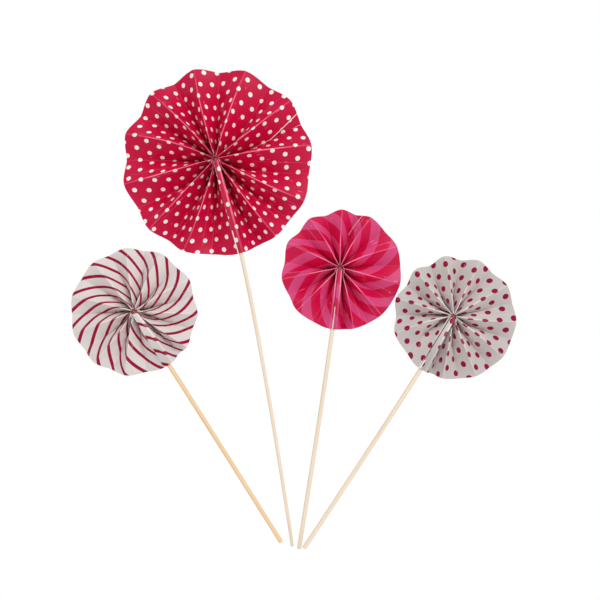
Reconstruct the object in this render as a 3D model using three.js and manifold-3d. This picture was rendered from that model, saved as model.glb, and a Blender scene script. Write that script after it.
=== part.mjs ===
// Four pleated paper fans on wooden sticks, as they stand together in a cake.
// Millimetres. In the finished model +Z is up, +X is to the right and -Y is the front.
// Every fan is drawn flat, as seen from the front: +X right, +Y up, +Z towards the viewer.
// The last group turns that drawing upright. The origin is the middle of the big stick's lower end.

import * as THREE from 'three';
import { mergeVertices } from 'three/addons/utils/BufferGeometryUtils.js';
import Module from 'manifold-3d';

const wasm = await Module();
wasm.setup();

// Paper
const paperThickness = 0.22;
const bigPanelWidth = 15.5;
const smallPanelWidth = 10.4;
const flattestPleat = 0.3;        // lowest pleat height at the rim, as a share of the panel width

// Sticks
const stickDiameter = 2.2;
const stickTopPastHub = 0.6;      // the stick's top end reaches this far past the middle of the fan
const stickSides = 12;
const stickStep = 12;             // longest straight run along a bowed stick
const bowPower = 1.3;             // the bow starts gently at the rim and grows towards the tip

// Gaps between pieces that are glued together
const stickClearance = 0.3;
const glueGap = 0.1;

// The joint at the stick: one end of the strip is folded over it as a hem
const seamRimHeight = 0.75;       // height of the hem at the rim, as a share of its height at the hub
const hemWidthAtHub = 1.2;
const hemSpread = 0.28;           // how fast the hem widens on its way out, mm for each mm

// Glue
const glueFilmThickness = 0.1;
const dabThickness = 1.6;
const dabOverlap = 3.2;           // how far the dab reaches out past the hole in the hub
const dabRound = 0.8;             // share of the dab's thickness that is rounded
const dabSteps = 5;
const dabSides = 20;
const beadHeight = 1.2;
const beadEndInset = 4;           // the bead of glue along the stick stops this far inside the rim

// The hole in the middle is as small as the stick and the bunched paper allow
const hubMargin = 0.45;

// Depth between a fan and the one in front of it
const layerGap = 2;

// Sizes of the four picks, measured from the middle of each fan.
// dip is how much nearer the middle the inner folds end than the outer ones, on average.
// dipSwing deepens it on one side of the fan. offCentre is how far the rim is off the hub.
const bigRadius = 53.3;
const bigDip = 1.9;
const bigDipSwing = 0.3;
const bigOffCentre = 0.5;
const bigStickReach = 216.5;
const bigStickBow = -14.6;        // sideways, from the line of the hem to the tip
const stripedRadius = 33.5;
const stripedDip = 1.15;
const stripedDipSwing = 0.7;
const stripedOffCentre = 0.7;
const stripedStickReach = 141.8;
const stripedStickBow = -1.6;
const pinkRadius = 32.4;
const pinkDip = 0.95;
const pinkDipSwing = 0.8;
const pinkOffCentre = 1.35;
const pinkStickReach = 151.5;
const pinkStickBow = -3.6;
const dottedRadius = 32.4;
const dottedDip = 1.3;
const dottedDipSwing = 1.2;
const dottedOffCentre = 1.6;
const dottedStickReach = 142.9;
const dottedStickBow = -3.3;

// The glued tab where two strips of paper are joined
const tabStart = 0.6;             // share of the radius at which the slanted tab begins
const bigTabWidth = 6.5;
const pinkTabWidth = 4;
const tabGlueInset = 0.5;         // the film of glue stays this far inside the tab
const tabPointInset = 2;          // and this far short of the tab's point
const tabPastFold = 2;            // the wedge that cuts the tab out begins this far past the fold

// Shares of the way from the hub to the rim at which the paper is drawn
const STATIONS = [0, 0.08, 0.25, 0.5, 0.76, 1];

const rad = THREE.MathUtils.degToRad;

// Materials
const redPaper = new THREE.MeshStandardMaterial({ color: 0xb01038, roughness: 0.35, metalness: 0 });
const pinkPaper = new THREE.MeshStandardMaterial({ color: 0xd0305f, roughness: 0.35, metalness: 0 });
const stripedPaper = new THREE.MeshStandardMaterial({ color: 0xd9d2cc, roughness: 0.7, metalness: 0 });
const dottedPaper = new THREE.MeshStandardMaterial({ color: 0xc9c2bd, roughness: 0.7, metalness: 0 });
const paleWood = new THREE.MeshStandardMaterial({ color: 0xe8d3ae, roughness: 0.65, metalness: 0 });
const goldenWood = new THREE.MeshStandardMaterial({ color: 0xdcb676, roughness: 0.65, metalness: 0 });
const clearGlue = new THREE.MeshStandardMaterial({ color: 0xe6ddc8, roughness: 0.3, metalness: 0 });

/** Sizes that follow from a pick's own sizes and from the stick. */
function fanSizes(pick) {
  const slot = stickDiameter + 2 * stickClearance;
  const seamHalf = (slot + paperThickness) / 2;
  const hubRadius = seamHalf + hubMargin;
  const hemHubHeight = pick.panelWidth / 2;
  const hemRimHeight = hemHubHeight * seamRimHeight;
  const tilt = Math.atan((hemHubHeight - hemRimHeight) / (pick.radius - hubRadius));
  const stickDepth = paperThickness / 2 + stickClearance + stickDiameter / 2;
  return { slot, seamHalf, hubRadius, hemHubHeight, hemRimHeight, tilt, stickDepth };
}

/** Half the angle that the stick's slot takes at a radius. */
function seamAngle(sizes, radius) {
  return Math.asin(sizes.seamHalf / radius);
}

/** Angle of a fold at a radius: the folds share what the stick's slot leaves free. */
function foldAngle(sizes, turn, radius) {
  const seam = seamAngle(sizes, radius);
  return seam + rad(turn) * (1 - seam / Math.PI);
}

/** Turns of all folds round the fan, outer and inner by turns, with the seam at both ends. */
function foldTurns(ridgeTurns) {
  const ridges = [0, ...ridgeTurns, 360];
  const turns = [];
  for (let i = 0; i < ridges.length - 1; i += 1) {
    turns.push(ridges[i], (ridges[i] + ridges[i + 1]) / 2);
  }
  turns.push(360);
  return turns;
}

/** How far from the hub a fold ends at the rim. */
function foldEnd(pick, turn, inner) {
  const rimward = (towards) => Math.cos(rad(pick.seam + turn - towards));
  const dip = inner ? pick.dip + pick.dipSwing * rimward(pick.dipTowards) : 0;
  return pick.radius + pick.offCentre * rimward(pick.offTowards) - dip;
}

/** A fold as a function of the share of the way from the hub to the rim. */
function makeFold(pick, index) {
  const sizes = fanSizes(pick);
  const turns = foldTurns(pick.ridgeTurns);
  const inner = index % 2 === 1;
  const last = turns.length - 1;
  const reach = foldEnd(pick, turns[index], inner) - sizes.hubRadius;
  const before = turns[Math.max(index - 1, 0)];
  const after = turns[Math.min(index + 1, last)];
  return (out) => {
    const radius = sizes.hubRadius + reach * out;
    const angle = foldAngle(sizes, turns[index], radius);
    if (index === 0 || index === last) {
      const height = sizes.hemHubHeight + (sizes.hemRimHeight - sizes.hemHubHeight) * out;
      return { radius, angle, height };
    }
    const chord = radius * (foldAngle(sizes, after, radius) - foldAngle(sizes, before, radius)) / 2;
    const flattest = pick.panelWidth * flattestPleat;
    const rise = Math.sqrt(Math.max(pick.panelWidth ** 2 - chord ** 2, flattest ** 2));
    return { radius, angle, height: (inner ? -rise : rise) / 2 };
  };
}

/** A point between two folds, moved off the panel by an offset towards the front. */
function onPanel(a, b, share, offset) {
  const radius = a.radius + (b.radius - a.radius) * share;
  const along = (b.angle - a.angle) * radius;
  const up = b.height - a.height;
  const length = Math.hypot(along, up);
  const side = Math.sign(along) || 1;
  return {
    radius,
    angle: a.angle + ((b.angle - a.angle) * share) - (side * up * offset) / length / radius,
    height: a.height + (up * share) + (side * along * offset) / length,
  };
}

/** Width of a panel across, and the angle at the fold between two panels. */
function cornerAt(fold, left, right) {
  const l = [(left.angle - fold.angle) * fold.radius, left.height - fold.height];
  const r = [(right.angle - fold.angle) * fold.radius, right.height - fold.height];
  const cos = (l[0] * r[0] + l[1] * r[1]) / (Math.hypot(...l) * Math.hypot(...r));
  return { angle: Math.acos(cos), leftWidth: Math.hypot(...l), rightWidth: Math.hypot(...r) };
}

/** The sheet's front and back points at one station; a crease has two points on its outer side. */
function sheetSection(nodes, out, thickness) {
  const points = nodes.map((node) => node.at(out));
  const half = thickness / 2;
  const normals = [];
  for (let i = 0; i < points.length - 1; i += 1) {
    const along = (points[i + 1].angle - points[i].angle) * (points[i + 1].radius + points[i].radius) / 2;
    const up = points[i + 1].height - points[i].height;
    const length = Math.hypot(along, up);
    normals.push([-up / length, along / length]);
  }
  const move = (p, n, d) => {
    return { radius: p.radius, angle: p.angle + (n[0] * d) / p.radius, height: p.height + n[1] * d };
  };
  const front = [];
  const back = [];
  points.forEach((p, i) => {
    const n1 = normals[Math.max(i - 1, 0)];
    const n2 = normals[Math.min(i, normals.length - 1)];
    const scale = 1 / (1 + n1[0] * n2[0] + n1[1] * n2[1]);
    const mitre = [(n1[0] + n2[0]) * scale, (n1[1] + n2[1]) * scale];
    const kind = nodes[i].kind;
    front.push(kind === 'ridge' ? [move(p, n1, half), move(p, n2, half)] : [move(p, mitre, half)]);
    back.push(kind === 'valley' ? [move(p, n1, -half), move(p, n2, -half)] : [move(p, mitre, -half)]);
  });
  return { front, back };
}

/** A closed pleated sheet through nodes, each with a kind and a place for every station. */
function pleatedSheet(nodes, stations, thickness) {
  const positions = [];
  const rings = stations.map((out) => {
    const section = sheetSection(nodes, out, thickness);
    const number = (list) => list.map((group) => group.map((p) => {
      positions.push(p.radius * Math.cos(p.angle), p.radius * Math.sin(p.angle), p.height);
      return positions.length / 3 - 1;
    }));
    return { front: number(section.front), back: number(section.back) };
  });
  const triangles = [];
  const quad = (a, b, c, d) => triangles.push(a, b, c, a, c, d);
  const skin = (inner, outer, flip) => {
    const a = inner.flat();
    const b = outer.flat();
    for (let i = 0; i < a.length - 1; i += 1) {
      if (flip) quad(a[i], b[i], b[i + 1], a[i + 1]);
      else quad(a[i], a[i + 1], b[i + 1], b[i]);
    }
  };
  const cap = (ring, flip) => {
    const put = (a, b, c) => (flip ? triangles.push(a, c, b) : triangles.push(a, b, c));
    for (let i = 0; i < nodes.length; i += 1) {
      const f = ring.front[i];
      const k = ring.back[i];
      if (f.length === 2) put(f[0], k[0], f[1]);
      if (k.length === 2) put(f[0], k[0], k[1]);
      if (i < nodes.length - 1) {
        put(f[f.length - 1], k[k.length - 1], ring.back[i + 1][0]);
        put(f[f.length - 1], ring.back[i + 1][0], ring.front[i + 1][0]);
      }
    }
  };
  for (let j = 0; j < rings.length - 1; j += 1) {
    skin(rings[j].front, rings[j + 1].front, true);
    skin(rings[j].back, rings[j + 1].back, false);
    const end = nodes.length - 1;
    const near = rings[j];
    const far = rings[j + 1];
    quad(near.front[0][0], near.back[0][0], far.back[0][0], far.front[0][0]);
    quad(near.back[end][0], near.front[end][0], far.front[end][0], far.back[end][0]);
  }
  cap(rings[0], true);
  cap(rings[rings.length - 1], false);
  const geometry = new THREE.BufferGeometry();
  geometry.setAttribute('position', new THREE.Float32BufferAttribute(positions, 3));
  geometry.setIndex(triangles);
  return facingOut(geometry);
}

/** Turns a closed geometry's triangles round if they face inwards. */
function facingOut(geometry) {
  const p = geometry.getAttribute('position');
  const index = geometry.getIndex();
  let volume = 0;
  const a = new THREE.Vector3();
  const b = new THREE.Vector3();
  const c = new THREE.Vector3();
  for (let i = 0; i < index.count; i += 3) {
    a.fromBufferAttribute(p, index.getX(i));
    b.fromBufferAttribute(p, index.getX(i + 1));
    c.fromBufferAttribute(p, index.getX(i + 2));
    volume += a.dot(b.cross(c));
  }
  if (volume < 0) {
    for (let i = 0; i < index.count; i += 3) {
      const keep = index.getX(i);
      index.setX(i, index.getX(i + 2));
      index.setX(i + 2, keep);
    }
  }
  geometry.computeVertexNormals();
  return geometry;
}

/** A three.js geometry as a solid that can be joined to another. */
function toSolid(geometry) {
  const bare = geometry.clone();
  bare.deleteAttribute('normal');
  bare.deleteAttribute('uv');
  const merged = mergeVertices(bare, 1e-5);
  return new wasm.Manifold(new wasm.Mesh({
    numProp: 3,
    vertProperties: new Float32Array(merged.getAttribute('position').array),
    triVerts: new Uint32Array(merged.getIndex().array),
  }));
}

/** Two closed geometries joined or cut: the way is add, subtract or intersect. */
function combine(way, one, other) {
  const mesh = toSolid(one)[way](toSolid(other)).getMesh();
  const geometry = new THREE.BufferGeometry();
  geometry.setAttribute('position', new THREE.Float32BufferAttribute(mesh.vertProperties, 3));
  geometry.setIndex(new THREE.Uint32BufferAttribute(mesh.triVerts, 1));
  geometry.computeVertexNormals();
  return geometry;
}

/** The nodes of a strip from one fold to another, with a node halfway across each panel. */
function stripNodes(pick, first, last) {
  const nodes = [];
  for (let i = first; i <= last; i += 1) {
    const fold = makeFold(pick, i);
    nodes.push({ kind: i % 2 ? 'valley' : 'ridge', at: fold });
    if (i < last) {
      const next = makeFold(pick, i + 1);
      nodes.push({ kind: 'plain', at: (out) => onPanel(fold(out), next(out), 0.5, 0) });
    }
  }
  return nodes;
}

/** The hem: it lies over the stick, from the first fold back across the slot. */
function hemNode(pick) {
  const sizes = fanSizes(pick);
  const fold = makeFold(pick, 0);
  return {
    kind: 'plain',
    at: (out) => {
      const top = fold(out);
      const across = 2 * seamAngle(sizes, top.radius) * top.radius + paperThickness / 2;
      const width = Math.min(across, hemWidthAtHub + hemSpread * (top.radius - sizes.hubRadius));
      return { radius: top.radius, angle: top.angle - width / top.radius, height: top.height };
    },
  };
}

/** The strip's other end stands beside the stick and stops just under the hem. */
function raisedEndNode(pick) {
  const fold = makeFold(pick, foldTurns(pick.ridgeTurns).length - 1);
  const drop = paperThickness / 2 + glueGap;
  return {
    kind: 'plain',
    at: (out) => {
      const top = fold(out);
      const seam = seamAngle(fanSizes(pick), top.radius);
      return { radius: top.radius, angle: 2 * Math.PI - seam, height: top.height - drop };
    },
  };
}

/** The cut end of a strip that starts or ends next to an inner fold of the other strip. */
function cutEndNode(pick, valley, towards) {
  const fold = makeFold(pick, valley);
  const left = makeFold(pick, valley - 1);
  const right = makeFold(pick, valley + 1);
  return {
    kind: 'plain',
    at: (out) => {
      const corner = cornerAt(fold(out), left(out), right(out));
      const clear = (paperThickness + glueGap) / Math.sin(Math.min(corner.angle, Math.PI / 2));
      const width = towards > 0 ? corner.rightWidth : corner.leftWidth;
      const target = towards > 0 ? right : left;
      return onPanel(fold(out), target(out), clear / width, 0);
    },
  };
}

/** A slanted wedge beside an inner fold, as tall as the fan, that a tab is cut out with. */
function tabWedge(pick, valley, towards, inset) {
  const { angle, radius } = makeFold(pick, valley)(1);
  const out = new THREE.Vector2(Math.cos(angle), Math.sin(angle));
  const aside = new THREE.Vector2(-out.y, out.x).multiplyScalar(towards);
  const beyond = radius + pick.panelWidth;
  const width = (pick.tabWidth * (beyond - radius * tabStart)) / (radius * (1 - tabStart));
  const corner = (far, across) => out.clone().multiplyScalar(far).addScaledVector(aside, across);
  const past = inset > 0 ? inset : -tabPastFold;
  const start = radius * tabStart + (inset > 0 ? tabPointInset : 0);
  const shape = new THREE.Shape([
    corner(start, past), corner(beyond, past), corner(beyond, width - inset), corner(start, past + glueGap),
  ]);
  const wedge = new THREE.ExtrudeGeometry(shape, { depth: pick.panelWidth, bevelEnabled: false });
  wedge.translate(0, 0, -pick.panelWidth / 2);
  return wedge;
}

/** A thin slanted plate lying over the panel beside an inner fold, at an offset from it. */
function slantedPlate(pick, valley, towards, offset, thickness, inset) {
  const fold = makeFold(pick, valley);
  const left = makeFold(pick, valley - 1);
  const right = makeFold(pick, valley + 1);
  const target = towards > 0 ? right : left;
  const rootShare = (out) => {
    const corner = cornerAt(fold(out), left(out), right(out));
    return offset / Math.tan(corner.angle) / (towards > 0 ? corner.rightWidth : corner.leftWidth);
  };
  const node = (share) => ({
    kind: 'plain',
    at: (out) => onPanel(fold(out), target(out), share === 0 ? rootShare(out) : share, offset),
  });
  const nodes = [node(0), node(0.5), node(1)];
  const stations = STATIONS.filter((out, i) => i === STATIONS.length - 1 || STATIONS[i + 1] > tabStart);
  const sheet = pleatedSheet(towards > 0 ? nodes : nodes.reverse(), stations, thickness);
  return combine('intersect', sheet, tabWedge(pick, valley, towards, inset));
}

/** The paper of a fan: one strip, or two strips that are joined at an inner fold. */
function paperPieces(pick) {
  const last = foldTurns(pick.ridgeTurns).length - 1;
  const hem = hemNode(pick);
  const raised = raisedEndNode(pick);
  if (pick.join === undefined) {
    const nodes = [hem, ...stripNodes(pick, 0, last)];
    nodes[nodes.length - 1] = raised;
    return [{ name: `${pick.name}_pleated_strip`, geometry: pleatedSheet(nodes, STATIONS, paperThickness) }];
  }
  const { valley, towards } = pick.join;
  const fold = paperThickness / 2;
  const film = fold + glueGap + glueFilmThickness / 2;
  const tab = film + glueFilmThickness / 2 + glueGap + fold;
  const first = [hem, ...stripNodes(pick, 0, valley)];
  const second = stripNodes(pick, valley, last);
  second[second.length - 1] = raised;
  // the strip without the tab stops short of the fold; the other one ends in it
  const cut = cutEndNode(pick, valley, towards);
  if (towards > 0) {
    first[first.length - 1] = { kind: 'plain', at: makeFold(pick, valley) };
    second[0] = cut;
  } else {
    second[0] = { kind: 'plain', at: makeFold(pick, valley) };
    first[first.length - 1] = cut;
  }
  const plate = slantedPlate(pick, valley, towards, tab, paperThickness, 0);
  let one = pleatedSheet(first, STATIONS, paperThickness);
  let two = pleatedSheet(second, STATIONS, paperThickness);
  if (towards > 0) one = combine('add', one, plate);
  else two = combine('add', two, plate);
  return [
    { name: `${pick.name}_short_strip`, geometry: one },
    { name: `${pick.name}_long_strip`, geometry: two },
    {
      name: `${pick.name}_tab_glue`,
      geometry: slantedPlate(pick, valley, towards, film, glueFilmThickness, tabGlueInset),
      material: clearGlue,
    },
  ];
}

/** The way of the stick's middle line: straight under the hem, then a gentle bow down to the tip. */
class StickLine extends THREE.Curve {
  constructor(top, rim, tip, bow) {
    super();
    this.top = top;
    this.rim = rim;
    this.tip = tip;
    this.bow = bow;
  }

  getPoint(t, target = new THREE.Vector3()) {
    const y = this.top + (this.tip - this.top) * t;
    const past = Math.max(0, (y - this.rim) / (this.tip - this.rim));
    return target.set(this.bow * past ** bowPower, y, 0);
  }
}

/** A round stick with flat ends. */
function stickGeometry(pick) {
  const line = new StickLine(stickTopPastHub, -pick.radius, -pick.stickReach, pick.stickBow);
  const round = new THREE.Shape();
  round.absarc(0, 0, stickDiameter / 2, 0, 2 * Math.PI, false);
  const steps = Math.max(2, Math.round(pick.stickReach / stickStep));
  const options = { steps, bevelEnabled: false, extrudePath: line, curveSegments: stickSides };
  return new THREE.ExtrudeGeometry(round, options);
}

/** The dab of glue on the back of the hub, with a plug in the hole up to the stick. */
function dabGeometry(pick) {
  const sizes = fanSizes(pick);
  const rim = sizes.hubRadius + dabOverlap;
  const plug = sizes.hubRadius - stickClearance;
  const floor = -pick.panelWidth / 2 - paperThickness / 2 - glueGap;
  const top = sizes.hemHubHeight - sizes.stickDepth - stickDiameter / 2 - stickClearance - 2 * glueGap;
  const profile = [new THREE.Vector2(0, floor - dabThickness)];
  for (let i = 1; i <= dabSteps; i += 1) {
    const turn = (i / dabSteps) * Math.PI / 2;
    const depth = dabThickness * (1 - dabRound * (1 - Math.cos(turn)));
    profile.push(new THREE.Vector2(rim * Math.sin(turn), floor - depth));
  }
  profile.push(new THREE.Vector2(rim, floor));
  profile.push(new THREE.Vector2(plug, floor));
  profile.push(new THREE.Vector2(plug, top));
  profile.push(new THREE.Vector2(0, top));
  const dab = new THREE.LatheGeometry(profile, dabSides);
  dab.rotateX(Math.PI / 2);
  return dab;
}

/** The bead of glue that holds the stick, behind it in the slot between the strip's two ends. */
function beadGeometry(pick) {
  const sizes = fanSizes(pick);
  const from = -sizes.hubRadius - dabOverlap;
  const to = -pick.radius + beadEndInset;
  const width = sizes.slot - 2 * stickClearance;
  const bead = new THREE.BoxGeometry(width, from - to, beadHeight);
  bead.translate(0, (from + to) / 2, -stickDiameter / 2 - stickClearance - beadHeight / 2);
  return bead;
}

/** Depth of the stick's middle line in front of the fan's middle, once the fan is tilted. */
function stickPlane(pick) {
  const sizes = fanSizes(pick);
  const hemLine = sizes.hemHubHeight * Math.cos(sizes.tilt) + sizes.hubRadius * Math.sin(sizes.tilt);
  return hemLine - sizes.stickDepth;
}

/** One pick: the fan leans back a little, so that its hem lies along the stick. */
function buildPick(pick) {
  const sizes = fanSizes(pick);
  const plane = stickPlane(pick);
  const group = new THREE.Group();
  group.name = pick.name;
  const fan = new THREE.Group();
  fan.rotation.x = -sizes.tilt;
  const turned = new THREE.Group();
  turned.rotation.z = -Math.PI / 2;
  fan.add(turned);
  group.add(fan);
  const put = (parent, name, geometry, material) => {
    const mesh = new THREE.Mesh(geometry, material);
    mesh.name = name;
    parent.add(mesh);
    return mesh;
  };
  for (const piece of paperPieces(pick)) {
    put(turned, piece.name, piece.geometry, piece.material ?? pick.paper);
  }
  put(turned, `${pick.name}_centre_glue`, dabGeometry(pick), clearGlue);
  put(group, `${pick.name}_stick`, stickGeometry(pick), pick.wood).position.z = plane;
  put(group, `${pick.name}_stick_glue`, beadGeometry(pick), clearGlue).position.z = plane;
  const turn = new THREE.Euler(0, 0, rad(pick.seam + 90));
  const tip = new THREE.Vector3(pick.stickBow, -pick.stickReach, 0).applyEuler(turn);
  group.rotation.copy(turn);
  group.position.set(pick.tip[0] - tip.x, pick.tip[1] - tip.y, pick.layer);
  return group;
}

// tip is where the stick's lower end comes, across and up, from the big stick's own lower end.
// seam is the direction of the stick seen from the hub, in degrees anticlockwise from +X.
// ridgeTurns are the outer folds' directions in degrees, anticlockwise round from the stick.
// dipTowards and offTowards are directions in degrees, anticlockwise from +X.
const bigFan = {
  name: 'big_fan',
  tip: [0, 0],
  seam: -74.9,
  radius: bigRadius,
  dip: bigDip,
  dipSwing: bigDipSwing,
  dipTowards: 120,
  offCentre: bigOffCentre,
  offTowards: 310,
  panelWidth: bigPanelWidth,
  ridgeTurns: [21.5, 49, 83.5, 113.5, 147, 179, 209.5, 239, 270, 302, 326.5],
  join: { valley: 7, towards: 1 },
  tabWidth: bigTabWidth,
  stickReach: bigStickReach,
  stickBow: bigStickBow,
  paper: redPaper,
  wood: paleWood,
};
const stripedFan = {
  name: 'striped_fan',
  tip: [-5.6, 9.9],
  seam: -56.8,
  radius: stripedRadius,
  dip: stripedDip,
  dipSwing: stripedDipSwing,
  dipTowards: 0,
  offCentre: stripedOffCentre,
  offTowards: 190,
  panelWidth: smallPanelWidth,
  ridgeTurns: [20.5, 52.5, 86.5, 122, 156, 188.5, 224.5, 258, 290.5, 320.5],
  stickReach: stripedStickReach,
  stickBow: stripedStickBow,
  paper: stripedPaper,
  wood: goldenWood,
};
const pinkFan = {
  name: 'pink_fan',
  tip: [3.7, 2.6],
  seam: -96.9,
  radius: pinkRadius,
  dip: pinkDip,
  dipSwing: pinkDipSwing,
  dipTowards: 130,
  offCentre: pinkOffCentre,
  offTowards: 320,
  panelWidth: smallPanelWidth,
  ridgeTurns: [16.5, 46.5, 80.5, 116, 154.5, 184.5, 218.5, 252.5, 289.5, 324],
  join: { valley: 11, towards: -1 },
  tabWidth: pinkTabWidth,
  stickReach: pinkStickReach,
  stickBow: pinkStickBow,
  paper: pinkPaper,
  wood: paleWood,
};
const dottedFan = {
  name: 'dotted_fan',
  tip: [6.3, 6.8],
  seam: -121.4,
  radius: dottedRadius,
  dip: dottedDip,
  dipSwing: dottedDipSwing,
  dipTowards: 135,
  offCentre: dottedOffCentre,
  offTowards: 330,
  panelWidth: smallPanelWidth,
  ridgeTurns: [19, 51.5, 81, 115.5, 149.5, 184, 218.5, 251, 286, 320.5],
  stickReach: dottedStickReach,
  stickBow: dottedStickBow,
  paper: dottedPaper,
  wood: paleWood,
};

// Each layer lies clear in front of the last, so that every pick can be drawn up past the others
bigFan.layer = -stickPlane(bigFan);
pinkFan.layer = bigFan.layer + (bigPanelWidth + smallPanelWidth) / 2 + layerGap;
stripedFan.layer = pinkFan.layer + smallPanelWidth + layerGap;
dottedFan.layer = stripedFan.layer;

const toppers = new THREE.Group();
toppers.name = 'paper_fan_cake_toppers';
toppers.rotation.x = Math.PI / 2;
for (const pick of [bigFan, stripedFan, pinkFan, dottedFan]) toppers.add(buildPick(pick));

export default toppers;
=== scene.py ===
"""Looks of four paper fan cake toppers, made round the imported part.

Every fan is made as a maker makes it: a flat strip of printed paper is laid out, folded
into pleats and closed round its stick. Sizes in the dataclasses are millimetres, and the
meshes are metres. A fan is first worked out flat, hub at the origin and stick along +X,
and then turned into its place on its pick.
"""

import logging
import math
from collections.abc import Mapping, Sequence
from dataclasses import dataclass
from enum import Enum

import bpy
from mathutils import Matrix, Vector, noise


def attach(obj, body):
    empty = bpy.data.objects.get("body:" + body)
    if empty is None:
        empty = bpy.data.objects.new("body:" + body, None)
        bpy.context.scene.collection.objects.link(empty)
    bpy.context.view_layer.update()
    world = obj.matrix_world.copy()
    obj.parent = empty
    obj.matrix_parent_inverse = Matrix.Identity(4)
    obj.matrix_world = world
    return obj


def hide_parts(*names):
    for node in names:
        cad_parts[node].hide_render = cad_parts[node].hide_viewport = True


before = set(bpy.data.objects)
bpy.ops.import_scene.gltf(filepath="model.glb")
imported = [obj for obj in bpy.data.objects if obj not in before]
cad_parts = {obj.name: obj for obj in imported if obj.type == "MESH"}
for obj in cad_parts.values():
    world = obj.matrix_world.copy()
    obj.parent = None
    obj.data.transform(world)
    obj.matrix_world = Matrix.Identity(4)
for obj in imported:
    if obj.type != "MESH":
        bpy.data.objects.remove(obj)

log = logging.getLogger("paper_fans")

MM = 0.001
PAPER = 0.22
STICK = 2.2
STICK_CLEARANCE = 0.3
LAYER_GAP = 2.0
FLAT_MAP = "flat_strip"

# The hub: room beside the stick, and the hole that opens on the side away from the stick.
HUB_MARGIN = 0.45
HUB_HOLE = 1.15
HOLE_FROM = 50
HOLE_TO = 110

# The folds: heights as shares of a panel's width, the rest in millimetres.
RIM_HEM_HEIGHT = 0.75
FLATTEST_PLEAT = 0.3
RIM_FLATNESS = 0.35
FOLD_ROUND = 0.42
FOLD_WANDER = 0.22
STEADY_WITHIN = 6.0
HUB_SPACING = 0.84
HEM_TUCK = 0.25

# The layers over the stick and at a join: how far each stands above the paper below it.
HEM_LIFT = 0.12
END_DROP = 0.25
LAP_LIFT = 0.17
TAB_LIFT = 0.37
FILM_LIFT = 0.19

# Their edges: the tab's distance from the fold, the film's from the tab's, and the plain strip's end.
TAB_START = 0.25
FILM_INSET = 0.8
FILM_THICKNESS = 0.1
JOIN_SETBACK = 1.6 * PAPER

# Faces narrower than this on the flat sheet are cut edges. Edges blunter than the angle are smooth.
CUT_EDGE = 0.15
CREASE_ANGLE = 50

# Half the blur of the ink's edge, and lines beside a fold or crease (the worn and painted-highlight line, the
# painted shade line, the stray crease): where they end and are full.
INK_BLUR = 0.05
RUB_LINE = (0.5, 0.2)
SHADE_LINE = (1.4, 0.1)
STRAY_LINE = (0.26, 0.06)

Rgb = tuple[float, float, float]
Row = list[tuple[Vector, float]]


class Print(Enum):
    """What is printed on a sheet of paper."""

    DOTS = "dots"
    STRIPES = "stripes"


class Signal:
    """The value of a shader socket, on which arithmetic adds Math nodes."""

    def __init__(self, shader: "Shader", socket: bpy.types.NodeSocket) -> None:
        """Wraps an output socket of one of a shader's nodes."""
        self.shader = shader
        self.socket = socket

    def math(self, operation: str, *others: "Signal | float") -> "Signal":
        """Result of a Math node on this value and the others after it."""
        return self.shader.math(operation, self, *others)

    def __add__(self, other: "Signal | float") -> "Signal":
        """Sum."""
        return self.math("ADD", other)

    def __radd__(self, other: float) -> "Signal":
        """Sum with a number first."""
        return self.math("ADD", other)

    def __sub__(self, other: "Signal | float") -> "Signal":
        """Difference."""
        return self.math("SUBTRACT", other)

    def __rsub__(self, other: float) -> "Signal":
        """Difference with a number first."""
        return self.shader.math("SUBTRACT", other, self)

    def __mul__(self, other: "Signal | float") -> "Signal":
        """Product."""
        return self.math("MULTIPLY", other)

    def __truediv__(self, other: "Signal | float") -> "Signal":
        """Quotient."""
        return self.math("DIVIDE", other)

    def __abs__(self) -> "Signal":
        """Size without its sign."""
        return self.math("ABSOLUTE")

    def rounded(self) -> "Signal":
        """Nearest whole number."""
        return self.math("ROUND")

    def root(self) -> "Signal":
        """Square root."""
        return self.math("SQRT")

    def band(self, low: float, high: float) -> "Signal":
        """Rises smoothly from 0 at low to 1 at high, or falls where low is the larger.

        Args:
            low: Where the result is 0.
            high: Where the result is 1.

        Returns:
            The smooth step.
        """
        settings = {"interpolation_type": "SMOOTHSTEP", "clamp": True}
        if low < high:
            values = {"Value": self, "From Min": low, "From Max": high}
        else:
            values = {"Value": self, "From Min": high, "From Max": low, "To Min": 1.0, "To Max": 0.0}
        return Signal(self.shader, self.shader.node("ShaderNodeMapRange", settings, values).outputs[0])


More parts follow.
